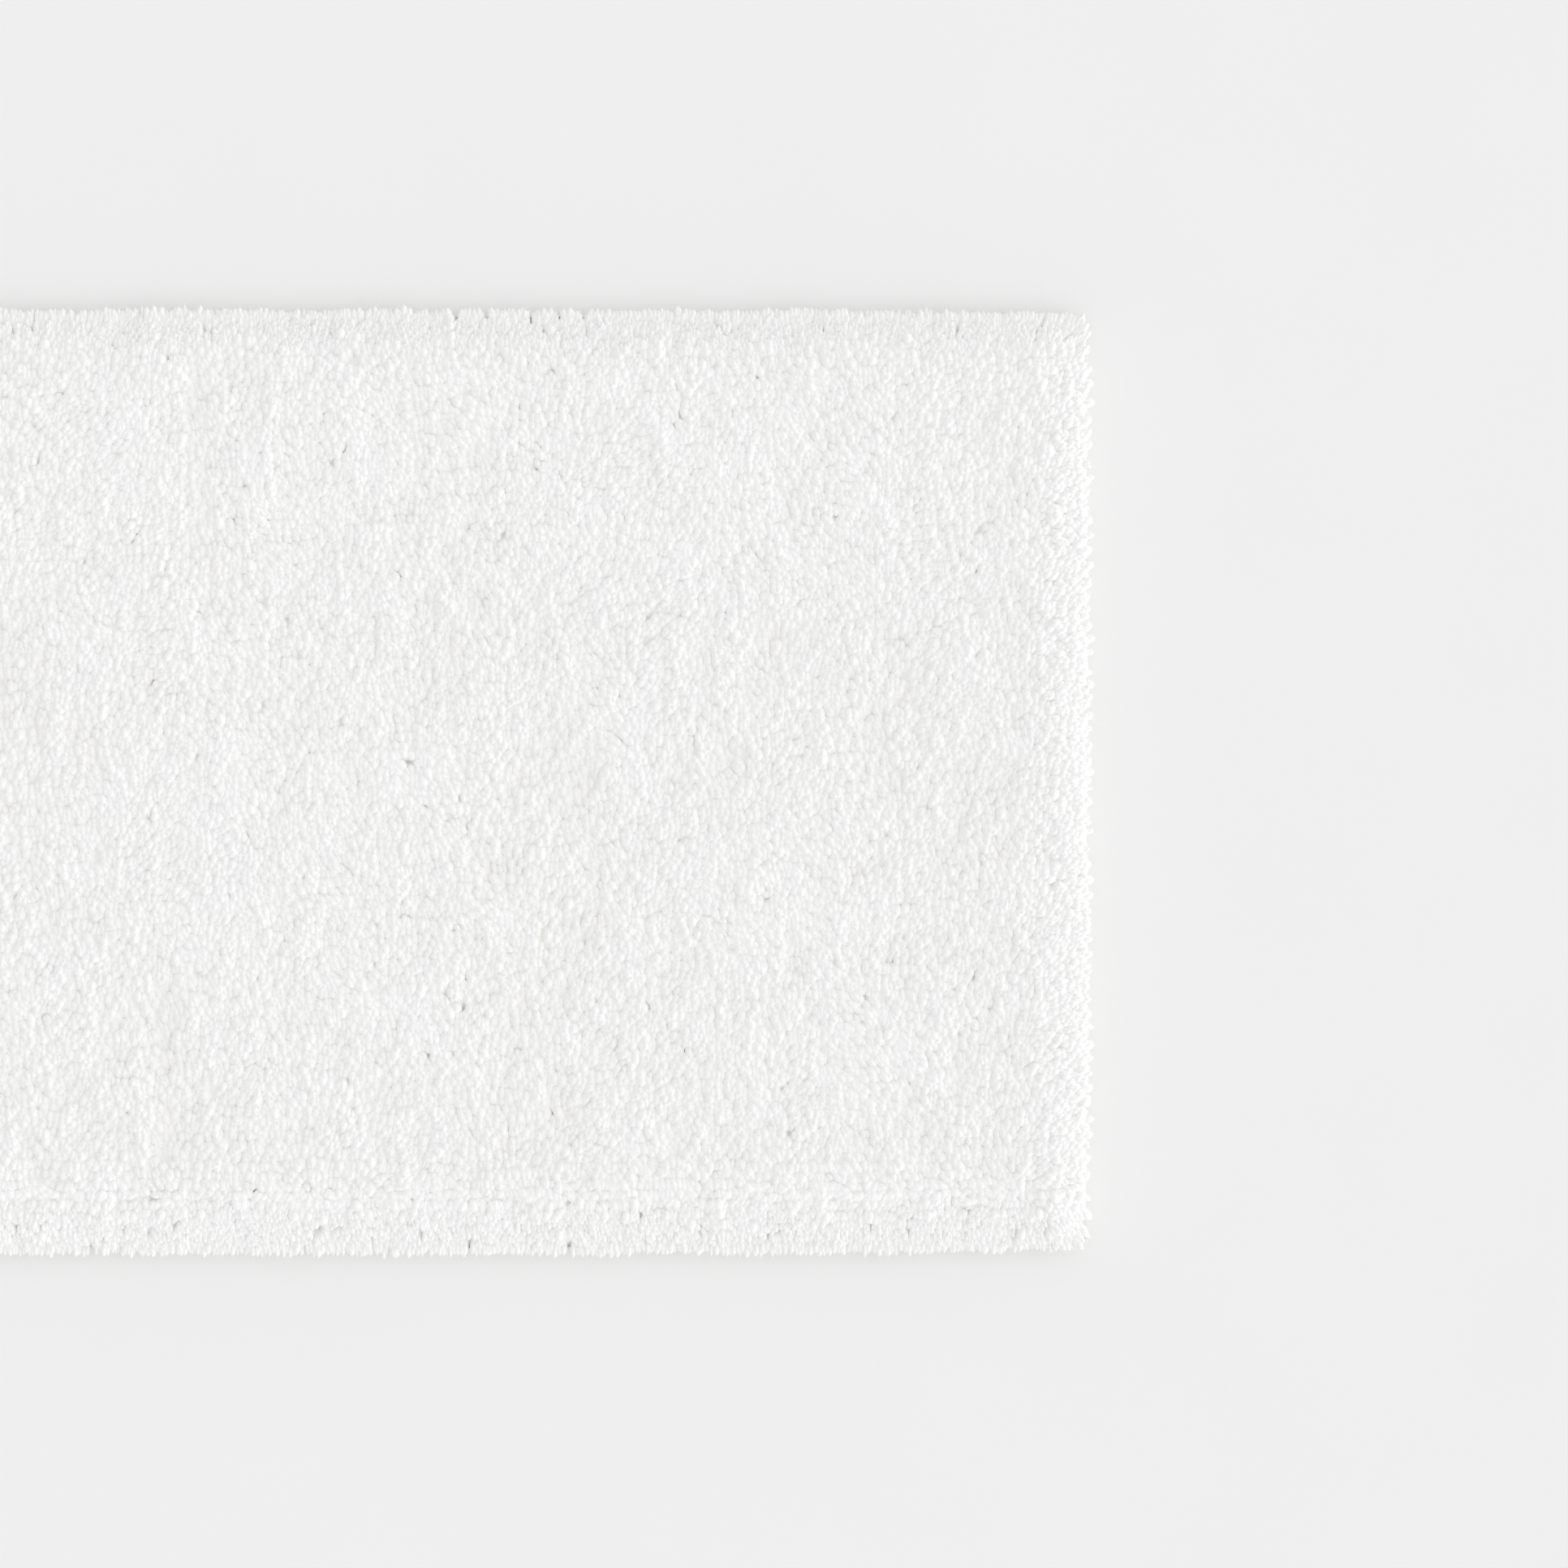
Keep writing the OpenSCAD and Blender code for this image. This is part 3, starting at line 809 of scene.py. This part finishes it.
def onSide(side, along, inset, z):  # from a side's own frame, along it and in from the fold, to the mat's
    turn, axis = sides[side]
    away = backHigh.y if axis == "x" else backHigh.x
    x, y = along, inset - away
    for quarter in range(turn):
        x, y = -y, x
    return np.stack(np.broadcast_arrays(x, y, z), -1)


def sideLength(side):
    return 2 * (backHigh.x if sides[side][1] == "x" else backHigh.y)


def tapeMaterial():
    look = Look("hemTape")
    along, across = look.attribute("along"), look.attribute("across")
    chevron = across.math("PINGPONG", 3.4 * mm)
    twill = (along + chevron).ridge(1.1 * mm)
    yarn = across.ridge(0.42 * mm)
    cloud = look.noise(look.place(), 45.0, 3.0)
    base = look.blend(cloud, (0.885, 0.88, 0.86), (0.93, 0.928, 0.915))
    # painted shade: the valleys of the twill, where the bump is low, are painted darker
    base = look.blend((1 - twill) * 0.45, base, (0.74, 0.73, 0.695))
    return look.finish(Base_Color=base, Roughness=0.75 + cloud * 0.2, Specular_IOR_Level=0.25,
                       Sheen_Weight=0.2, Normal=look.bump(twill * 0.8 + yarn * 0.2, 0.8, 0.0003))


def tapeSection():  # distance in from the fold, lower face, upper face
    thick, margin = hem["tapeThickness"], hem["margin"]
    rise = hem["clothThickness"]
    start, end = hem["tapeInset"], tapeEnd
    acrossGroove = (-1.2, -0.8, -0.45, -0.2, 0.0, 0.2, 0.45, 0.8, 1.2)
    acrossStep = (-0.6, 0.1, 0.4, 0.7, 1.0, 1.35, 1.9)
    inset = [start, start + 0.1 * mm, start + 0.5 * mm]
    inset += [outerRow + d * mm for d in acrossGroove] + [10 * mm, 14 * mm]
    inset += [margin + d * mm for d in acrossStep] + [innerRow + d * mm for d in acrossGroove]
    inset = np.array(inset + [end - 0.5 * mm, end - 0.1 * mm, end])
    lower = rise * np.clip((inset - margin - 0.5 * mm) / (0.8 * mm), 0, 1)
    upper = thick + rise * np.clip((inset - margin - 0.05 * mm) / (0.6 * mm), 0, 1)
    fromEdge = np.minimum(inset - start, end - inset)
    soft = 0.3 * mm * (1 - np.clip(fromEdge / (0.5 * mm), 0, 1)) ** 2
    return inset, lower + soft, upper - soft


def makeTape(side, material):
    h = hem
    half = sideLength(side) / 2
    count = 2 * int(half / h["alongStep"]) + 1
    along = np.linspace(-half, half, count)[:, None]
    inset, lower, upper = (v[None, :] for v in tapeSection())
    straight = half - 2 * tapeEnd
    mitred = (half - inset - h["mitreGap"] - straight) / (half - straight)
    past = np.maximum(np.abs(along) - straight, 0)
    x = np.sign(along) * (np.minimum(np.abs(along), straight) + past * mitred)
    dent = np.zeros(x.shape)
    for row in (outerRow, innerRow):
        stitches = stitchRuns(sideLength(side), row)
        phase = (x - stitches[0]) / h["stitchPitch"]
        toHole = np.abs(phase - np.floor(phase) - 0.5) * h["stitchPitch"]
        depth = h["grooveDepth"] + h["holeDepth"] * np.exp(-(toHole / (0.8 * mm)) ** 2)
        within = (x > stitches[0] - h["stitchPitch"] * 0.7) & (x < stitches[-1] + h["stitchPitch"] * 0.7)
        dent += np.where(within, depth, 0) * np.exp(-((inset - row) / (0.42 * mm)) ** 2)
    outer = onSide(side, x, inset, lower + dent)
    inner = onSide(side, x, inset, upper + 0 * x)
    marks = {"along": x, "across": inset + 0 * x}
    piece = ribbonMesh("hemTape" + side.capitalize(), outer, inner, material, marks)
    settle(piece, "hem_tape_" + side)
    return piece


def threadMaterial():
    look = Look("hemThread")
    twist = (look.attribute("along") + look.attribute("round") * (0.9 * mm)).ridge(0.45 * mm)
    fuzz = look.noise(look.place(), 3000.0, 2.0)
    # painted shade: the grooves of the thread's twist, where the bump is low, are painted darker than its
    # ridges
    base = look.blend(twist, (0.80, 0.795, 0.78), (0.945, 0.945, 0.94))
    return look.finish(Base_Color=base, Roughness=0.5 + fuzz * 0.2, Specular_IOR_Level=0.4,
                       Sheen_Weight=0.2, Normal=look.bump(twist * 0.8 + fuzz * 0.2, 0.7, 0.00012))


def makeThread(name, node, inset, z, dive, material):
    # lockstitches round the hem; each lies flat and dives into its two needle holes
    radius, ringSides = hem["threadRadius"], 6
    share = np.array([-1.0, -0.97, -0.88, -0.7, -0.3, 0.3, 0.7, 0.88, 0.97, 1.0])
    thickness = np.array([0.55, 0.95, 1.0, 1.0, 1.0, 1.0, 1.0, 1.0, 0.95, 0.55])
    reach = (hem["stitchPitch"] - hem["stitchGap"]) / 2 + 0.45 * mm
    drop = dive * 0.42 * mm * np.clip((np.abs(share) - 0.6) / 0.4, 0, 1) ** 1.6
    turn = np.arange(ringSides) / ringSides * 2 * math.pi
    size = len(share) * ringSides
    pieces = []
    for side in sides:
        middles = stitchRuns(sideLength(side), inset)[:, None, None]
        x = middles + reach * share[None, :, None] + 0 * turn
        off = inset + radius * thickness[None, :, None] * np.cos(turn) + 0 * x
        high = z + drop[None, :, None] + radius * thickness[None, :, None] * np.sin(turn) + 0 * x
        pieces.append(onSide(side, x, off, high).reshape(-1, size, 3))
    points = np.concatenate(pieces)
    quads = gridQuads(len(share), ringSides, closedColumns=True)
    last = size - ringSides
    caps = [[0, k, k + 1] for k in range(1, ringSides - 1)]
    caps += [[last, last + k + 1, last + k] for k in range(1, ringSides - 1)]
    marks = {"along": np.tile(np.repeat(share * reach, ringSides), len(points)),
             "round": np.tile(np.arange(ringSides) / ringSides, len(points) * len(share))}
    piece = meshFrom(name, points, repeated(quads, len(points), size), repeated(caps, len(points), size),
                     material, marks)
    settle(piece, node)


def makeHem():
    material = tapeMaterial()
    tapes = [makeTape(side, material) for side in sides]
    thread = threadMaterial()
    radius, step = hem["threadRadius"], hem["clothThickness"]
    for name, node, row, height, dive in (
            ("outerBobbinThread", "outer_bobbin_thread", outerRow, radius, 1),
            ("innerBobbinThread", "inner_bobbin_thread", innerRow, step + radius, 1),
            ("outerNeedleThread", "outer_needle_thread", outerRow, backHigh.z - radius, -1),
            ("innerNeedleThread", "inner_needle_thread", innerRow, backHigh.z - radius, -1)):
        makeThread(name, node, row, height, dive, thread)
    print("hem ready")
    return tapes


label = {
    "ply": 0.18 * mm,
    "droop": 0.5 * mm,            # at the folded end
    "cup": 0.12 * mm,
    "acrossSteps": 24,
    "alongSteps": 20,
}


def labelMaterial():
    look = Look("labelSatin")
    place = look.place()
    x, y = look.part(place, "X"), look.part(place, "Y")
    floats = y.ridge(0.22 * mm) * 0.7 + x.ridge(0.9 * mm) * 0.3
    selvedge = (look.attribute("edge") - 0.9).step(0.0, 0.06)
    base = look.blend(floats * 0.3, (0.95, 0.95, 0.95), (0.88, 0.88, 0.885))
    base = look.blend(selvedge * 0.5, base, (0.82, 0.82, 0.82))
    rough = 0.3 + floats * 0.15 + selvedge * 0.2
    return look.finish(Base_Color=base, Roughness=rough, Specular_IOR_Level=0.5,
                       Sheen_Weight=0.2, Normal=look.bump(floats, 0.35, 0.0001))


def makeLabel():
    low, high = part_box("care_label")
    ply, full = label["ply"], high.z - low.z
    half = full / 2
    run = np.linspace(high.x, low.x + half, label["alongSteps"])
    turn = np.linspace(math.pi / 2, 3 * math.pi / 2, 7)[1:-1]
    middle = (low.z + high.z) / 2

    def side(radius):  # one face of the folded ribbon, from the root out, round the fold and back
        x = np.concatenate([run, low.x + half + radius * np.cos(turn), run[::-1]])
        z = np.concatenate([np.full(len(run), middle + radius), middle + radius * np.sin(turn),
                            np.full(len(run), middle - radius)])
        return x, z

    across = np.linspace(-1, 1, label["acrossSteps"])[:, None]
    y = (low.y + high.y) / 2 + across * (high.y - low.y) / 2
    faces = []
    for radius in (half, half - ply):
        x, z = side(radius)
        free = np.clip((backHigh.x - tapeEnd - x) / (backHigh.x - tapeEnd - low.x), 0, 1)
        sag = (label["droop"] + label["cup"] * across ** 2) * free ** 2
        faces.append(np.stack(np.broadcast_arrays(x, y, z - sag), -1))
    edge = np.abs(across) + 0 * faces[0][:, :, 0]
    piece = ribbonMesh("careLabel", faces[0], faces[1], labelMaterial(), {"edge": edge})
    settle(piece, "care_label")
    print("label ready")
    return piece


makePile()
backing = makeBacking()
makeLatex()
makeDots()
tapes = makeHem()
labelPiece = makeLabel()

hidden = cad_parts["back_stitches"]
hidden.data.materials.clear()
hidden.data.materials.append(pileMaterial())
